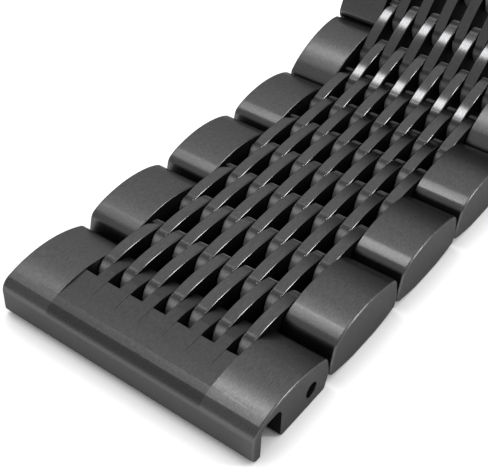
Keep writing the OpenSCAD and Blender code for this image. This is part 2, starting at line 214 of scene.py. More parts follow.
class BandFinish(bpy.types.PropertyGroup):
    steel: bpy.props.FloatVectorProperty(
        name="Black steel", description="Colour of the coated steel", subtype="COLOR", size=3,
        default=(0.115, 0.115, 0.117), min=0, max=1)
    steel_roughness: bpy.props.FloatProperty(
        name="Roughness", description="Roughness of the side links and shoulders",
        default=0.31, min=0, max=1)
    middle_roughness: bpy.props.FloatProperty(
        name="Middle roughness", description="Roughness of the lug end's middle",
        default=0.34, min=0, max=1)
    plate_roughness: bpy.props.FloatProperty(
        name="Plate roughness", description="Roughness of the plates' tops", default=0.14, min=0, max=1)
    brush: bpy.props.FloatProperty(
        name="Brushing", description="Depth of the brush marks", default=0.2, min=0, max=1)
    # Painted shade: a near-black colour for the faces inside the mesh, the slots and the grooves, where
    # shade falls.
    painted_shade: bpy.props.FloatVectorProperty(
        name="Painted shade", description="Colour of the faces inside the mesh", subtype="COLOR", size=3,
        default=(0.02, 0.02, 0.02), min=0, max=1)
    painted_shade_roughness: bpy.props.FloatProperty(
        name="Painted shade roughness", description="Roughness of the faces inside the mesh",
        default=0.6, min=0, max=1)
    # Painted light: the plates' noses are made paler by this gain, standing in for the light that falls on
    # them.
    nose_painted_light: bpy.props.FloatProperty(
        name="Nose painted light", description="How much paler the unbrushed noses of the plates are",
        default=5, min=1, max=8)
    middle_tone: bpy.props.FloatProperty(
        name="Middle tone", description="How dark the lug end's middle is beside its shoulders",
        default=0.68, min=0.3, max=1)
    rim_roughness: bpy.props.FloatProperty(
        name="Rim roughness", description="Roughness of the polished rims", default=0.12, min=0, max=1)
    bare: bpy.props.FloatVectorProperty(
        name="Bare steel", description="Colour of the pins", subtype="COLOR", size=3,
        default=(0.2, 0.2, 0.2), min=0, max=1)


class StageLook(bpy.types.PropertyGroup):
    floor: bpy.props.FloatVectorProperty(
        name="Floor", description="Colour of the floor", subtype="COLOR", size=3,
        default=(0.9, 0.9, 0.9), min=0, max=1)
    world_front: bpy.props.FloatProperty(
        name="Front", description="Brightness of the surroundings on the lug's side",
        default=0.5, min=0, max=2)
    world_back: bpy.props.FloatProperty(
        name="Back", description="Brightness of the surroundings on the clasp's side",
        default=0.85, min=0, max=2)
    world_shade: bpy.props.FloatProperty(
        name="Shade", description="Brightness of the surroundings low behind the near side",
        default=0.25, min=0, max=2)


def put_away():
    """Leaves edit mode and deselects everything."""
    if bpy.context.mode != "OBJECT":
        bpy.ops.object.mode_set(mode="OBJECT")
    bpy.ops.object.select_all(action="DESELECT")


def take(piece):
    """Makes a piece the only one that is selected."""
    put_away()
    piece.select_set(True)
    bpy.context.view_layer.objects.active = piece
    return piece


def settle(piece):
    """Brings a piece's place, turn and size into its mesh."""
    take(piece)
    bpy.ops.object.transform_apply(location=True, rotation=True, scale=True)
    return piece


def rod(radius, length, at=(0, 0, 0), steps=ROD_STEPS):
    """A round bar along Y."""
    put_away()
    bpy.ops.mesh.primitive_cylinder_add(
        vertices=steps, radius=radius, depth=length, location=at, rotation=(math.pi / 2, 0, 0))
    return settle(bpy.context.object)


def block(low, high):
    """A block between two corners."""
    low, high = Vector(low), Vector(high)
    put_away()
    bpy.ops.mesh.primitive_cube_add(size=1, location=(low + high) / 2)
    bpy.context.object.scale = high - low
    return settle(bpy.context.object)


def apply_all(piece):
    """Applies a piece's modifiers in order."""
    take(piece)
    for modifier in list(piece.modifiers):
        bpy.ops.object.modifier_apply(modifier=modifier.name)
    return piece


def combine(piece, tool, how):
    """Cuts a piece with a tool, keeps what they share, or adds the tool, and puts the tool away."""
    cut = piece.modifiers.new(how.lower(), "BOOLEAN")
    cut.operation, cut.solver, cut.object = how, "EXACT", tool
    apply_all(piece)
    bpy.data.objects.remove(tool, do_unlink=True)
    return piece


def gather(pieces):
    """Joins several tools that don't touch each other."""
    take(pieces[0])
    for other in pieces[1:]:
        other.select_set(True)
    if len(pieces) > 1:
        bpy.ops.object.join()
    return bpy.context.object


def shave(piece, point, angle):
    """Planes off what lies beyond a point in the X-Z plane. The cut's normal is turned from X up to Z."""
    take(piece)
    bpy.ops.object.mode_set(mode="EDIT")
    bpy.ops.mesh.select_all(action="SELECT")
    normal = (math.cos(angle), 0, math.sin(angle))
    bpy.ops.mesh.bisect(
        plane_co=(point[0], 0, point[1]), plane_no=normal, use_fill=True, clear_outer=True)
    bpy.ops.object.mode_set(mode="OBJECT")
    return piece


def circle(centre, radius):
    """A round outline in the X-Z plane."""
    x, z = centre
    turns = (2 * math.pi * i / CIRCLE_STEPS for i in range(CIRCLE_STEPS))
    return [Vector((x + radius * math.cos(t), z + radius * math.sin(t))) for t in turns]


def clip(outline, point, angle):
    """What is left of an outline behind a line. The angle is the line's normal, from X up to Z."""
    normal = Vector((math.cos(angle), math.sin(angle)))
    left = []
    for one, other in zip(outline, outline[1:] + outline[:1]):
        a, b = (one - point).dot(normal), (other - point).dot(normal)
        if a <= 0:
            left.append(one)
        if a * b < 0:
            left.append(one + (other - one) * a / (a - b))
    return left


def round_off(outline, centre, radius, start, end, steps, side=1):
    """Clips a corner round, from one angle to another. Side -1 does the end towards -X."""
    for i in range(steps + 1):
        angle = math.radians(start + (end - start) * i / steps)
        x, z = centre[0] + radius * math.cos(angle), centre[1] + radius * math.sin(angle)
        outline = clip(outline, Vector((side * x, z)), angle if side > 0 else math.pi - angle)
    return outline


def prism(outline, width):
    """A solid along Y with an outline given in the X-Z plane."""
    outline = [at for i, at in enumerate(outline) if (at - outline[i - 1]).length > SHORTEST_EDGE]
    put_away()
    bpy.ops.mesh.primitive_circle_add(vertices=len(outline), radius=1, fill_type="NGON")
    piece = take(bpy.context.object)
    for vertex, at in zip(piece.data.vertices, outline):
        vertex.co = (at.x, -width / 2, at.y)
    bpy.ops.object.mode_set(mode="EDIT")
    bpy.ops.mesh.select_all(action="SELECT")
    bpy.ops.mesh.extrude_region_move(TRANSFORM_OT_translate={"value": (0, width, 0)})
    bpy.ops.object.mode_set(mode="OBJECT")
    return clean(piece)


def break_edges(piece, width, kept):
    """Bevels the sharp edges, but for those whose two ends pass a test."""
    clean(piece, MERGED_BEFORE_BEVEL)
    bpy.ops.object.mode_set(mode="EDIT")
    bpy.ops.mesh.select_mode(type="EDGE")
    bpy.ops.mesh.select_all(action="SELECT")
    bpy.ops.mesh.dissolve_limited(angle_limit=FLAT_TURN)
    bpy.ops.mesh.select_all(action="DESELECT")
    bpy.ops.mesh.edges_select_sharp(sharpness=LUG_SHARP_TURN)
    bpy.ops.object.mode_set(mode="OBJECT")
    points = piece.data.vertices
    for edge in piece.data.edges:
        edge.select = edge.select and not kept(*(points[i].co for i in edge.vertices))
    bpy.ops.object.mode_set(mode="EDIT")
    bpy.ops.mesh.bevel(offset=width, segments=FINE_SEGMENTS, affect="EDGES", clamp_overlap=False)
    bpy.ops.object.mode_set(mode="OBJECT")
    return piece


def smooth(piece):
    """Smooths the round faces and keeps the flat ones flat."""
    take(piece)
    bpy.ops.object.shade_smooth_by_angle(angle=ROUND_TURN)
    flat = piece.modifiers.new("flat", "WEIGHTED_NORMAL")
    flat.keep_sharp, flat.weight = True, 100
    return apply_all(piece)


def clean(piece, reach=MERGED):
    """Merges doubles and turns every face outwards."""
    take(piece)
    bpy.ops.object.mode_set(mode="EDIT")
    bpy.ops.mesh.select_all(action="SELECT")
    bpy.ops.mesh.remove_doubles(threshold=reach)
    bpy.ops.mesh.normals_make_consistent(inside=False)
    bpy.ops.object.mode_set(mode="OBJECT")
    return piece


def round_edges(piece, wanted, radius, segments):
    """Rounds the edges whose two ends pass a test."""
    take(piece)
    bpy.ops.object.mode_set(mode="EDIT")
    bpy.ops.mesh.select_mode(type="EDGE")
    bpy.ops.mesh.select_all(action="DESELECT")
    bpy.ops.object.mode_set(mode="OBJECT")
    points = piece.data.vertices
    for edge in piece.data.edges:
        edge.select = wanted(*(points[i].co for i in edge.vertices))
    bpy.ops.object.mode_set(mode="EDIT")
    bpy.ops.mesh.bevel(offset=radius, segments=segments, affect="EDGES")
    bpy.ops.object.mode_set(mode="OBJECT")
    return piece


def repeat(piece, count, step):
    """Repeats a piece along Y about its middle."""
    row = piece.modifiers.new("row", "ARRAY")
    row.count, row.use_relative_offset, row.use_constant_offset = count, False, True
    row.constant_offset_displace = (0, step, 0)
    apply_all(piece)
    for vertex in piece.data.vertices:
        vertex.co.y -= step * (count - 1) / 2
    return piece


def remember_place(piece):
    """Keeps each point's place in the piece's own frame, in metres, for the brush marks."""
    place = piece.data.attributes.new("own_place", "FLOAT_VECTOR", "POINT")
    for i, vertex in enumerate(piece.data.vertices):
        place.data[i].vector = vertex.co * MM
    return piece


def finish_faces(piece, half_width, rim_end=math.inf):
    """Gives the side faces inside the mesh the second material, a near black of painted shade, and the
    tops' rims the third one.
    """
    for face in piece.data.polygons:
        to_side = abs(face.normal.y)
        rounded = RIM_LEAST_TO_SIDE < to_side < RIM_MOST_TO_SIDE and face.normal.z > RIM_LEAST_UP
        if abs(face.center.y) < half_width + CLOSE and to_side > FLAT_TO_SIDE:
            face.material_index = 1
        elif rounded and abs(face.center.x) < rim_end:
            face.material_index = 2
        else:
            face.material_index = 0
    return piece


def paint_lug_shade(piece, s, g):
    """Gives the insides of the slots and grooves the second material, a near black of painted shade."""
    front = g.lip - g.reach
    rear, roof = front + g.groove + g.groove_foot, g.bar_level + g.groove / 2 - s.pin_level
    for face in piece.data.polygons:
        at, normal = face.center, face.normal
        to_side = abs(normal.y)
        in_slot = -g.slot_reach - CLOSE < at.x and abs(at.y) < s.mesh_width / 2 - CLOSE
        in_groove = front - CLOSE < at.x < rear and at.z < roof + CLOSE and to_side < OFF_SIDE
        if in_slot and (to_side > FLAT_TO_SIDE or normal.x > TURNED_TO_CLASP) or in_groove:
            face.material_index = 1
    return piece


def twin(piece):
    """A copy of a piece with a mesh of its own."""
    other = piece.copy()
    other.data = piece.data.copy()
    bpy.context.scene.collection.objects.link(other)
    return other


def set_in(template, name, place, body, nodes, materials):
    """Copies a template to its place on a body, where it stands for the CAD nodes."""
    piece = twin(template)
    piece.name = piece.data.name = name
    piece.data.transform(place @ Matrix.Scale(MM, 4))
    indices = [face.material_index for face in piece.data.polygons]
    piece.data.materials.clear()
    for material in materials:
        piece.data.materials.append(material)
    for face, index in zip(piece.data.polygons, indices):
        face.material_index = index
    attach(piece, body)
    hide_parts(*nodes)
    return piece


def drop(template):
    """Removes a template after its last copy."""
    bpy.data.objects.remove(template, do_unlink=True)


def lens(s, dome, dome_radius):
    """The outline between a domed top, given by its centre, and the belly that links and plates share."""
    dip = s.belly_radius - math.sqrt(s.belly_radius ** 2 - s.foot_length ** 2 / 4)
    outline = circle(dome, dome_radius)
    belly = (0, s.belly_radius - s.pin_level - dip)
    outline = round_off(outline, belly, s.belly_radius, *BELLY_ARC, BELLY_STEPS)
    return clip(outline, Vector((0, -s.pin_level)), -math.pi / 2)


def corner_between(one, radius_one, other, radius_other, radius):
    """Centre of the corner that rounds one circle into another from inside, on the upper right."""
    reach, far, near = (other - one).length, radius_one - radius, radius_other - radius
    along = (other - one) / reach
    run = (reach ** 2 + far ** 2 - near ** 2) / (2 * reach)
    rise = math.sqrt(far ** 2 - run ** 2)
    return one + run * along + rise * Vector((along.y, -along.x))


def soften_ends(piece, s):
    """Bevels a plate's rims, finely along the plate and round at its ends."""
    weights = piece.data.attributes.new("bevel_weight_edge", "FLOAT", "EDGE")
    points = piece.data.vertices
    start, run = s.pitch / 2 + WIDENING_START * s.plate_reach, s.plate_reach * WIDENING_LENGTH
    for edge, weight in zip(piece.data.edges, weights.data):
        one, other = (points[i].co for i in edge.vertices)
        from_pin = math.hypot(abs(one.x) - s.pitch / 2, one.z)
        if abs(one.y - other.y) < VERY_CLOSE and from_pin > s.pin_hole + HOLE_MARGIN:
            end = min(max((abs(one.x + other.x) / 2 - start) / run, 0), 1)
            weight.value = (s.plate_edge + (s.nose_edge - s.plate_edge) * end) / s.nose_edge
    rim = piece.modifiers.new("rim", "BEVEL")
    rim.width, rim.segments = s.nose_edge, ROUND_SEGMENTS
    rim.limit_method, rim.use_clamp_overlap = "WEIGHT", False
    return apply_all(piece)


def pin_holes(s, depth, y):
    """What a plate's or side link's two pin holes take away, to this depth on both sides of y."""
    return gather([rod(s.pin_hole, 2 * depth, (x * s.pitch / 2, y, 0), HOLE_STEPS) for x in (-1, 1)])


def plate_template(s):
    """One thin plate about the middle of its row."""
    thick = s.mesh_width / s.columns - s.plate_gap
    top = s.link_height - s.pin_level
    dome = Vector((0, top - s.plate_drop - s.plate_dome))
    outline = lens(s, dome, s.plate_dome)
    end = Vector((s.pitch / 2 + s.plate_reach - s.plate_end_radius, (top - s.pin_level) / 2))
    corner = corner_between(dome, s.plate_dome, end, s.plate_end_radius, s.plate_corner)
    low, high = (math.degrees(math.atan2((corner - c).y, (corner - c).x)) for c in (end, dome))
    for side in (1, -1):
        outline = round_off(outline, end, s.plate_end_radius, PLATE_END_START, low, PLATE_END_STEPS, side)
        outline = round_off(outline, corner, s.plate_corner, low, high, PLATE_CORNER_STEPS, side)
    piece = combine(prism(outline, thick), pin_holes(s, thick, 0), "DIFFERENCE")
    return finish_faces(smooth(soften_ends(piece, s)), s.mesh_width, s.pitch / 2 + RIM_END * s.plate_reach)


def link_corner(s, dome, dome_radius, nose):
    """Centre of the upper corner and the angle at which it runs into the dome, for a pin at the origin."""
    tilt = math.radians(s.back_stop)
    out, up = Vector((math.cos(tilt), math.sin(tilt))), Vector((-math.sin(tilt), math.cos(tilt)))
    q = (nose - s.corner_radius) * out - dome
    rise = math.sqrt(q.dot(up) ** 2 - q.dot(q) + (dome_radius - s.corner_radius) ** 2) - q.dot(up)
    centre = dome + q + rise * up
    away = centre - dome
    return centre, math.degrees(math.atan2(away.y, away.x))


def shape_nose(outline, s, dome, dome_radius, pin_x, side):
    """Gives one end its nose about the pin, its stop faces and its rounded corner."""
    nose = (s.pitch - s.nose_gap) / 2 - NOSE_SLACK
    outline = round_off(outline, (pin_x, 0), nose, -s.wrist_stop, s.back_stop, NOSE_STEPS, side)
    centre, end = link_corner(s, dome - Vector((pin_x, 0)), dome_radius, nose)
    corner = (centre.x + pin_x, centre.y)
    return round_off(outline, corner, s.corner_radius, s.back_stop, end, CORNER_STEPS, side)


def link_template(s):
    """One side link about the middle of its row, on the +Y side."""
    width = (s.band_width - s.mesh_width) / 2
    top = s.link_height - s.pin_level
    dome = Vector((0, top - s.dome_radius))
    outline = lens(s, dome, s.dome_radius)
    start = math.acos(s.shoulder_start / s.dome_radius)
    bend = dome + (s.dome_radius - s.shoulder_radius) * Vector((math.cos(start), math.sin(start)))
    high = math.degrees(start)
    low = high - SHOULDER_SPAN
    for side in (1, -1):
        outline = round_off(outline, bend, s.shoulder_radius, low, high, SHOULDER_STEPS, side)
        outline = shape_nose(outline, s, bend, s.shoulder_radius, s.pitch / 2, side)
    piece = prism(outline, width)
    outer = width / 2 - VERY_CLOSE
    round_edges(piece, lambda a, b: min(a.y, b.y) > outer, s.side_edge, ROUND_SEGMENTS)
    round_edges(piece, lambda a, b: max(a.y, b.y) < -outer, s.edge_break, BREAK_SEGMENTS)
    combine(piece, pin_holes(s, s.blind_depth, -width / 2), "DIFFERENCE")
    for vertex in piece.data.vertices:
        vertex.co.y += (s.mesh_width + width) / 2
    return piece


def under_lip(s, g):
    """What is taken away below the raised lip, with a slope up to it."""
    front, low = -g.reach, -s.pin_level
    rear = front + g.lip + g.groove
    top, wide = low + g.lip_lift, s.band_width
    tool = block((front - SPARE, -wide, low - 2 * SPARE), (rear + SPARE, wide, top))
    return shave(tool, (front + g.lip, top), math.atan2(g.groove, g.lip_lift))


def lip_corner(s, g):
    """What is taken away round the lip's lower front corner."""
    r, low = g.lip_foot_radius, g.lip_lift - s.pin_level
    tool = block((-g.reach - SPARE, -s.band_width, low - SPARE), (-g.reach + r, s.band_width, low + r))
    return combine(tool, rod(r, 3 * s.band_width, (-g.reach + r, 0, low + r)), "DIFFERENCE")


def slots_and_fingers(s, g):
    """What the plate slots take away, and what rounds the fingers between them."""
    column = s.mesh_width / s.columns
    centre_x, centre_z = s.finger_reach - s.plate_end_radius, (g.height - 2 * s.pin_level) / 2
    big = 2 * s.band_width
    slots, fingers = [], []
    for c in range(s.columns):
        y = s.mesh_width / 2 - (c + 0.5) * column
        if c % 2 == 0:
            y0 = max(y - (column + s.plate_gap) / 2, -s.mesh_width / 2)
            y1 = min(y + (column + s.plate_gap) / 2, s.mesh_width / 2)
            slots.append(block((-g.slot_reach, y0, -big), (big, y1, big)))
        else:
            tip = block((centre_x, y - column / 2 - FINGER_SPARE, -s.pin_level - SPARE),
                        (big, y + column / 2 + FINGER_SPARE, 2 * s.link_height))
            round_end = rod(s.plate_end_radius, 2 * column, (centre_x, y, centre_z), FINGER_STEPS)
            fingers.append(combine(tip, round_end, "DIFFERENCE"))
    return gather(slots), gather(fingers)


def grooves(s, g, bar):
    """The open grooves at both ends of the spring bar's bore."""
    front, rear, roof = bar[0] - g.groove / 2, bar[0] + g.groove / 2, bar[2] + g.groove / 2

    def roof_corner(one, other):
        return min(one.z, other.z) > roof - CLOSE and abs(one.x - other.x) < CLOSE

    tools = []
    for side in (-1, 1):
        start, end = sorted((side * g.closed / 2, side * s.band_width))
        tool = block((front, start, bar[2] - s.band_width), (rear, end, roof))
        tools.append(round_edges(tool, roof_corner, g.groove_corner, ROOF_SEGMENTS))
    return gather(tools)


def middle_rod(s, g, dome, deeper):
    """A wide round bar whose surface is that of the flatter middle, or lies deeper."""
    turn = math.radians(g.middle_slope)
    x, z = dome.x, dome.y + g.dome_radius - g.middle_drop - deeper
    centre = (x + g.middle_radius * math.sin(turn), 0, z - g.middle_radius * math.cos(turn))
    return rod(g.middle_radius, s.band_width, centre, MIDDLE_STEPS)


def above_middle(s, g, dome):
    """What is taken off the lug end's top between its shoulders, so that it is a little flatter there."""
    half, long = s.mesh_width / 2, MIDDLE_HALF_LENGTH
    tool = block((dome.x - long, -half, 0), (dome.x + long, half, 2 * s.link_height))
    return combine(tool, middle_rod(s, g, dome, 0), "DIFFERENCE")


def traces(s, g, dome):
    """Fine lines that run forward from one corner of each slot and fade out."""
    column = s.mesh_width / s.columns
    tools = []
    for c in range(2, s.columns, 2):
        y = s.mesh_width / 2 - c * column + s.plate_gap / 2
        line = block((-g.slot_reach - g.trace_length, y - TRACE_HALF_WIDTH, 0),
                     (-g.slot_reach, y + TRACE_HALF_WIDTH, 2 * s.link_height))
        tools.append(combine(line, middle_rod(s, g, dome, TRACE_DEPTH), "DIFFERENCE"))
    return gather(tools)


def lug_outline(s, g, dome):
    """The lug end's outline, with its rounded lip towards -X and its nose about the pin."""
    outline = clip(circle(dome, g.dome_radius), Vector((0, -s.pin_level - s.side_edge)), -math.pi / 2)
    lip_x = g.lip_radius - g.reach
    lip_z = dome.y + math.sqrt((g.dome_radius - g.lip_radius) ** 2 - (lip_x - dome.x) ** 2)
    turn = math.degrees(math.atan2(lip_z - dome.y, lip_x - dome.x))
    outline = round_off(outline, (lip_x, lip_z), g.lip_radius, turn, 180, LIP_STEPS)
    return shape_nose(outline, s, dome, g.dome_radius, 0, 1)


def lug_template(s, g):
    """The lug end about its pin."""
    dome = Vector((g.crown - g.reach, g.height - s.pin_level - g.dome_radius))
    bar = (g.lip + g.groove / 2 - g.reach, 0, g.bar_level - s.pin_level)

    def at_foot(*ends):
        rear = bar[0] + g.groove / 2
        return all(abs(v.x - rear) < CLOSE and v.z < CLOSE - s.pin_level and abs(v.y) > g.closed / 2 - CLOSE
                   for v in ends)

    def at_step(*ends):
        return all(abs(abs(v.y) - s.mesh_width / 2) < CLOSE and v.z > 0 for v in ends)

    piece = prism(lug_outline(s, g, dome), s.band_width)
    round_edges(piece, lambda a, b: abs(a.y - b.y) < VERY_CLOSE, s.side_edge, ROUND_SEGMENTS)
    shave(piece, (0, -s.pin_level), -math.pi / 2)
    combine(piece, under_lip(s, g), "DIFFERENCE")
    combine(piece, lip_corner(s, g), "DIFFERENCE")
    combine(piece, above_middle(s, g, dome), "DIFFERENCE")
    slots, fingers = slots_and_fingers(s, g)
    combine(piece, fingers, "DIFFERENCE")
    combine(piece, slots, "DIFFERENCE")
    combine(piece, rod(g.bore, 2 * s.band_width, bar), "DIFFERENCE")
    combine(piece, grooves(s, g, bar), "DIFFERENCE")
    round_edges(piece, at_foot, g.groove_foot, ROUND_SEGMENTS)
    combine(piece, rod(s.pin_hole, 2 * s.band_width, steps=LUG_HOLE_STEPS), "DIFFERENCE")
    break_edges(piece, LUG_EDGE, at_step)
    for vertex in piece.data.vertices:
        vertex.co.y = min(max(vertex.co.y, -s.band_width / 2), s.band_width / 2)
        vertex.co.z = max(vertex.co.z, -s.pin_level)
    combine(piece, traces(s, g, dome), "DIFFERENCE")
    return paint_lug_shade(smooth(piece), s, g)


def node_tree(name):
    """A new material and its empty node tree."""
    material = bpy.data.materials.new(name)
    material.use_nodes = True
    material.node_tree.nodes.clear()
    return material, material.node_tree


def add(tree, kind, sockets=None, **settings):
    """Adds a shader node. Each socket that is named gets a value or the output that feeds it."""
    node = tree.nodes.new("ShaderNode" + kind)
    for name, value in settings.items():
        setattr(node, name, value)
    for socket, value in (sockets or {}).items():
        if isinstance(value, bpy.types.NodeSocket):
            tree.links.new(value, node.inputs[socket])
        else:
            node.inputs[socket].default_value = value
    return node


def calculate(tree, operation, *values):
    """One step of arithmetic on values or outputs."""
    return add(tree, "Math", dict(enumerate(values)), operation=operation).outputs[0]


def tint(tree, colour, factor):
    """A colour times a factor."""
    return add(tree, "VectorMath", {0: colour, "Scale": factor}, operation="SCALE").outputs[0]


def ramp(tree, source, low, high, start, end):
    """Maps a value between two others, clamped, with a soft start and end."""
    limits = {"From Min": low, "From Max": high, "To Min": start, "To Max": end, "Value": source}
    return add(tree, "MapRange", limits, interpolation_type="SMOOTHSTEP").outputs[0]


def between(tree, start, end, share):
    """Blends two values by a share from 0 to 1."""
    return add(tree, "MapRange", {"To Min": start, "To Max": end, "Value": share}).outputs[0]


def steel_material(name, colour, roughness, brush, follows="own_place"):
    """Steel with fine marks along the band, which follow an attribute of the piece, or else its object."""
    material, tree = node_tree(name)
    if follows:
        where = add(tree, "Attribute", attribute_name=follows).outputs["Vector"]
    else:
        where = add(tree, "TexCoord").outputs["Object"]
    stretched = add(tree, "Mapping", {"Scale": BRUSH_REPEATS, "Vector": where}).outputs[0]
    marks = add(tree, "TexNoise", {"Scale": 1.0, "Detail": BRUSH_DETAIL, "Roughness": BRUSH_NOISE_ROUGHNESS,
                                   "Vector": stretched}).outputs[0]
    tone = add(tree, "MapRange", {"From Min": BRUSH_TONES[0], "From Max": BRUSH_TONES[1],
                                  "To Min": 1 - brush, "To Max": 1 + brush, "Value": marks}).outputs[0]
    bump = add(tree, "Bump", {"Strength": brush, "Distance": BRUSH_DEPTH, "Height": marks}).outputs[0]
    steel = add(tree, "BsdfPrincipled", {
        "Metallic": 1.0, "Specular Tint": (0.5, 0.5, 0.5, 1), "Normal": bump,
        "Base Color": tint(tree, colour, tone), "Roughness": roughness})
    add(tree, "OutputMaterial", {0: steel.outputs[0]})
    return material


def shader_and_place(material):
    """A steel material's node tree, its shader, the colour that feeds it, and the place on the piece."""
    tree = material.node_tree
    steel = next(node for node in tree.nodes if node.bl_idname == "ShaderNodeBsdfPrincipled")
    place = next(node for node in tree.nodes if node.bl_idname == "ShaderNodeAttribute")
    where = add(tree, "SeparateXYZ", {0: place.outputs["Vector"]}).outputs
    return tree, steel.inputs, steel.inputs["Base Color"].links[0].from_socket, where


def paint_nose_light(material, tip, roughness, gain):
    """Paints light on the plates' noses as a paler colour, and makes them duller, as they aren't brushed.
    """
    tree, steel, colour, where = shader_and_place(material)
    out = calculate(tree, "ABSOLUTE", where["X"])
    start, end = (tip - back for back in NOSE_PAINTED_LIGHT)
    sooner, later = NOSE_DULL_SOONER
    # Painted light: the colour grows paler towards the tip.
    paler = ramp(tree, out, start * MM, end * MM, 1, gain)
    duller = ramp(tree, out, (start - sooner) * MM, (end - later) * MM, roughness, NOSE_ROUGHNESS)
    tree.links.new(tint(tree, colour, paler), steel["Base Color"])
    tree.links.new(duller, steel["Roughness"])
    return material


def dark_middle(material, half_width, roughness, middle_roughness, tone):
    """Makes the steel duller inside the mesh's width, and darker there on the top."""
    tree, steel, colour, where = shader_and_place(material)
    inside = calculate(tree, "LESS_THAN", calculate(tree, "ABSOLUTE", where["Y"]), half_width * MM)
    low, high = MIDDLE_DARKENS
    on_top = calculate(tree, "MULTIPLY", ramp(tree, where["Z"], low * MM, high * MM, 0, 1), inside)
    tree.links.new(tint(tree, colour, ramp(tree, on_top, 0, 1, 1, tone)), steel["Base Color"])
    tree.links.new(between(tree, roughness, middle_roughness, inside), steel["Roughness"])
    return material


def brushed_plate(name, s, finish):
    """The finish of the plates' tops and ends, with painted light on the noses."""
    steel = steel_material(name, finish.steel, finish.plate_roughness, finish.brush)
    return paint_nose_light(steel, s.pitch / 2 + s.plate_reach, finish.plate_roughness, finish.nose_painted_light)


def brushed_black(name, s, finish):
    """The finish of the side links and the lug ends."""
    steel = steel_material(name, finish.steel, finish.steel_roughness, finish.brush)
    return dark_middle(
        steel, s.mesh_width / 2, finish.steel_roughness, finish.middle_roughness, finish.middle_tone)


def painted_shade_black(name, s, finish):
    """A near-black steel that paints shade on the faces inside the mesh, the slots and the grooves."""
    return steel_material(name, finish.painted_shade, finish.painted_shade_roughness, finish.brush)


def polished_rim(name, s, finish):
    """The finish of the rims of the plates' tops."""
    return steel_material(name, finish.steel, finish.rim_roughness, 0.0)


# The near-black finish paints shade inside the mesh, the slots and the grooves.
FINISHES = {"brushed_plate_painted_nose_light": brushed_plate, "brushed_black_coating": brushed_black,
            "painted_shade_near_black": painted_shade_black, "polished_rim_coating": polished_rim}


def finishes(scene, *names):
    """Finishes by their names, each made when it is first asked for."""
    s, finish, known = scene.watch_band, scene.watch_band_finish, bpy.data.materials
    return [known.get(name) or FINISHES[name](name, s, finish) for name in names]


class WATCHBAND_OT_plates(bpy.types.Operator):
    """Sets the thin plates of every row round their pins"""
    bl_idname = "watch_band.plates"
    bl_label = "Woven plates"

    def execute(self, context):
        s = context.scene.watch_band
        # The plates' first finish paints light on their noses.
        looks = finishes(
            context.scene, "brushed_plate_painted_nose_light", "painted_shade_near_black", "polished_rim_coating")
        one = plate_template(s)
        column = s.mesh_width / s.columns
        for first, count in ((1, (s.columns + 1) // 2), (2, s.columns // 2)):
            row = remember_place(repeat(twin(one), count, 2 * column))
            kind, body = ("bridge_plates", "bridge") if first == 1 else ("centre_plates", "links")
            for half in HALVES:
                for j in range(first, ROWS + 1, 2):
                    k = (j + 1) // 2
                    set_in(row, f"woven_{kind}_{half}{k}", row_place(half, j), f"{body}_{half}{k}",
                           [f"{kind}_{half}{k}"], looks)
            drop(row)
        drop(one)
        return {"FINISHED"}


class WATCHBAND_OT_side_links(bpy.types.Operator):
    """Sets a pair of solid side links on every second row"""
    bl_idname = "watch_band.side_links"
    bl_label = "Side links"

    def execute(self, context):
        s = context.scene.watch_band
        looks = finishes(
            context.scene, "brushed_black_coating", "painted_shade_near_black", "brushed_black_coating")
        pair = link_template(s)
        other = twin(pair)
        other.scale.y = -1
        clean(settle(other))
        pair = finish_faces(remember_place(smooth(gather([pair, other]))), s.mesh_width / 2)
        for half in HALVES:
            for k in range(1, SIDE_ROWS + 1):
                set_in(pair, f"domed_side_links_{half}{k}", row_place(half, 2 * k), f"links_{half}{k}",
                       [f"side_links_{half}{k}"], looks)
        drop(pair)
        return {"FINISHED"}


class WATCHBAND_OT_lug_ends(bpy.types.Operator):
    """Sets the slotted end that takes the watch's spring bar on each half"""
    bl_idname = "watch_band.lug_ends"
    bl_label = "Lug ends"

    def execute(self, context):
        looks = finishes(context.scene, "brushed_black_coating", "painted_shade_near_black")
        end = remember_place(lug_template(context.scene.watch_band, context.scene.watch_band_lug))
        for half in HALVES:
            set_in(end, f"slotted_lug_end_{half}", lug_place(half), f"lug_{half}", [f"lug_end_{half}"],
                   looks)
        drop(end)
        return {"FINISHED"}


def dress(name, new_name, body, look, width):
    """Copies a CAD node's mesh, joins its faces again and breaks its edges."""
    node = frame["nodes"][name]
    piece = bpy.data.objects.new(new_name, node.data.copy())
    bpy.context.scene.collection.objects.link(piece)
    piece.data.name = new_name
    take(piece)
    bpy.ops.object.mode_set(mode="EDIT")
    bpy.ops.mesh.select_all(action="SELECT")
    bpy.ops.mesh.remove_doubles(threshold=MERGED_CAD)
    bpy.ops.mesh.dissolve_limited(angle_limit=FLAT_TURN)
    bpy.ops.object.mode_set(mode="OBJECT")
    edge = piece.modifiers.new("edge", "BEVEL")
    edge.width, edge.segments = width * MM, FINE_SEGMENTS
    edge.limit_method, edge.angle_limit = "ANGLE", CAD_SHARP_TURN
    smooth(apply_all(piece))
    piece.data.materials.clear()
    piece.data.materials.append(look)
    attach(piece, body)
    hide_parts(name)
    return piece


class WATCHBAND_OT_clasp(bpy.types.Operator):
    """Finishes the folding clasp"""
    bl_idname = "watch_band.clasp"
    bl_label = "Clasp"

    def execute(self, context):
        finish = context.scene.watch_band_finish
        look = steel_material(
            "brushed_clasp_coating", finish.steel, finish.steel_roughness, finish.brush, follows=None)
        for name in ("clasp_cover", "upper_blade", "lower_blade"):
            dress(name, f"folding_{name}", name, look, CLASP_EDGE)
        return {"FINISHED"}


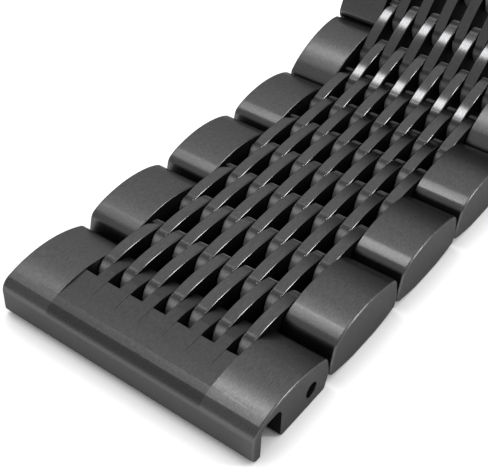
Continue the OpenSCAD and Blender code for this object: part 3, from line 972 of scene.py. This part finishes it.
class WATCHBAND_OT_pins(bpy.types.Operator):
    """Finishes the cross pins, with chamfered ends"""
    bl_idname = "watch_band.pins"
    bl_label = "Pins"

    def execute(self, context):
        finish = context.scene.watch_band_finish
        look = steel_material("smooth_dark_steel", finish.bare, PIN_ROUGHNESS, PIN_BRUSH, follows=None)
        body = {"clasp_bar_a": "clasp_cover", "cover_hinge_pin": "clasp_cover",
                "blade_hinge_pin": "upper_blade", "clasp_bar_b": "lower_blade"}
        for half in HALVES:
            body[f"lug_pin_{half}"] = f"lug_{half}"
            for k in range(1, SIDE_ROWS + 1):
                body[f"link_pins_{half}{k}"] = f"links_{half}{k}"
        for name, carrier in body.items():
            dress(name, f"chamfered_{name}", carrier, look, PIN_CHAMFER)
        return {"FINISHED"}


def panel_light(name, at, target, size, radiance):
    """A soft box. Its power follows from how bright its face is."""
    data = bpy.data.lights.new(name, "AREA")
    data.shape, data.size, data.size_y = "RECTANGLE", size[0], size[1]
    data.energy = math.pi * radiance * size[0] * size[1]
    lamp = bpy.data.objects.new(name, data)
    bpy.context.scene.collection.objects.link(lamp)
    lamp.location = at
    lamp.rotation_euler = (Vector(target) - Vector(at)).to_track_quat("-Z", "Y").to_euler()
    return lamp


def camera_at_photo():
    """The camera that took the photograph, in the band's frame."""
    right = Vector((0.59643558, -0.80223143, 0.02625523))
    up = Vector((0.50997702, 0.40400673, 0.75940898))
    back = Vector((-0.61982904, -0.43954897, 0.65008358))
    data = bpy.data.cameras.new("camera")
    data.sensor_fit, data.sensor_width = "HORIZONTAL", SENSOR_WIDTH
    data.lens = SENSOR_WIDTH * FOCAL_PIXELS / PHOTO_WIDTH
    data.clip_start, data.clip_end = 0.005, 10
    camera = bpy.data.objects.new("camera", data)
    bpy.context.scene.collection.objects.link(camera)
    place = Matrix((right, up, back)).transposed().to_4x4()
    place.translation = Vector(CAMERA_AT) * MM
    camera.matrix_world = place
    bpy.context.scene.camera = camera
    return camera


def pale_floor(colour):
    """White paper that glows to the camera and to reflections, but not close under the band."""
    material, tree = node_tree("white_paper")
    path = add(tree, "LightPath").outputs
    near = add(tree, "AmbientOcclusion", {"Distance": SHADE_REACH}).outputs["AO"]
    direct = calculate(tree, "MULTIPLY", path["Is Camera Ray"], CAMERA_GAIN)
    seen = calculate(tree, "MAXIMUM", direct, path["Is Glossy Ray"])
    level = calculate(tree, "MULTIPLY", seen, calculate(tree, "POWER", near, SHADE_POWER))
    glow = add(tree, "Emission", {"Strength": calculate(tree, "MULTIPLY", level, PAPER_GLOW)}).outputs[0]
    paper = add(tree, "BsdfDiffuse", {"Color": (*colour, 1)}).outputs[0]
    both = add(tree, "AddShader", {0: paper, 1: glow}).outputs[0]
    add(tree, "OutputMaterial", {0: both})
    return material


def pale_world(front, back, shade):
    """Surroundings that are white to the camera, and to the steel paler behind but dark low down there."""
    world = bpy.data.worlds.new("studio")
    bpy.context.scene.world = world
    world.use_nodes = True
    tree = world.node_tree
    tree.nodes.clear()
    way = add(tree, "SeparateXYZ", {0: add(tree, "TexCoord").outputs["Generated"]}).outputs
    fade = ramp(tree, way["X"], *BACK_ALONG_X, front, back)
    behind = ramp(tree, way["X"], *SHADE_ALONG_X, 0, 1)
    beside = ramp(tree, way["Y"], *SHADE_ALONG_Y, 1, 0)
    shaded = between(tree, fade, shade, calculate(tree, "MULTIPLY", behind, beside))
    level = between(tree, shaded, 1.0, add(tree, "LightPath").outputs["Is Camera Ray"])
    sky = add(tree, "Background", {"Color": (1, 1, 1, 1), "Strength": level}).outputs[0]
    add(tree, "OutputWorld", {0: sky})


class WATCHBAND_OT_stage(bpy.types.Operator):
    """Sets the white floor, the soft lights and the camera"""
    bl_idname = "watch_band.stage"
    bl_label = "Stage"

    def execute(self, context):
        look = context.scene.watch_band_stage
        put_away()
        bpy.ops.mesh.primitive_plane_add(size=FLOOR_SIZE, location=(0, 0, FLOOR_LEVEL))
        floor = context.object
        floor.name = "floor"
        floor.data.materials.append(pale_floor(look.floor))
        pale_world(look.world_front, look.world_back, look.world_shade)
        for box in SOFT_BOXES:
            panel_light(*box)
        camera_at_photo()
        context.scene.view_settings.view_transform = "Standard"
        return {"FINISHED"}


class WATCHBAND_PT_panel(bpy.types.Panel):
    """Sizes, finishes and steps of the watch band"""
    bl_label = "Watch Band"
    bl_idname = "WATCHBAND_PT_panel"
    bl_space_type = "VIEW_3D"
    bl_region_type = "UI"
    bl_category = "Watch Band"

    def draw(self, context):
        for group in (context.scene.watch_band, context.scene.watch_band_lug,
                      context.scene.watch_band_finish, context.scene.watch_band_stage):
            column = self.layout.column(align=True)
            for name in group.__annotations__:
                column.prop(group, name)
        for step in STEPS:
            self.layout.operator(step.bl_idname)


STEPS = (WATCHBAND_OT_plates, WATCHBAND_OT_side_links, WATCHBAND_OT_lug_ends,
         WATCHBAND_OT_clasp, WATCHBAND_OT_pins, WATCHBAND_OT_stage)
GROUPS = {"watch_band": BandSizes, "watch_band_lug": LugSizes, "watch_band_finish": BandFinish,
          "watch_band_stage": StageLook}


def register():
    for name, group in GROUPS.items():
        bpy.utils.register_class(group)
        setattr(bpy.types.Scene, name, bpy.props.PointerProperty(type=group))
    for item in (*STEPS, WATCHBAND_PT_panel):
        bpy.utils.register_class(item)


def unregister():
    for item in reversed((*STEPS, WATCHBAND_PT_panel)):
        bpy.utils.unregister_class(item)
    for name, group in reversed(GROUPS.items()):
        delattr(bpy.types.Scene, name)
        bpy.utils.unregister_class(group)


def main():
    """Builds the band and its stage."""
    register()
    bpy.ops.watch_band.plates()
    bpy.ops.watch_band.side_links()
    bpy.ops.watch_band.lug_ends()
    bpy.ops.watch_band.clasp()
    bpy.ops.watch_band.pins()
    bpy.ops.watch_band.stage()
    put_away()


if __name__ == "__main__":
    main()
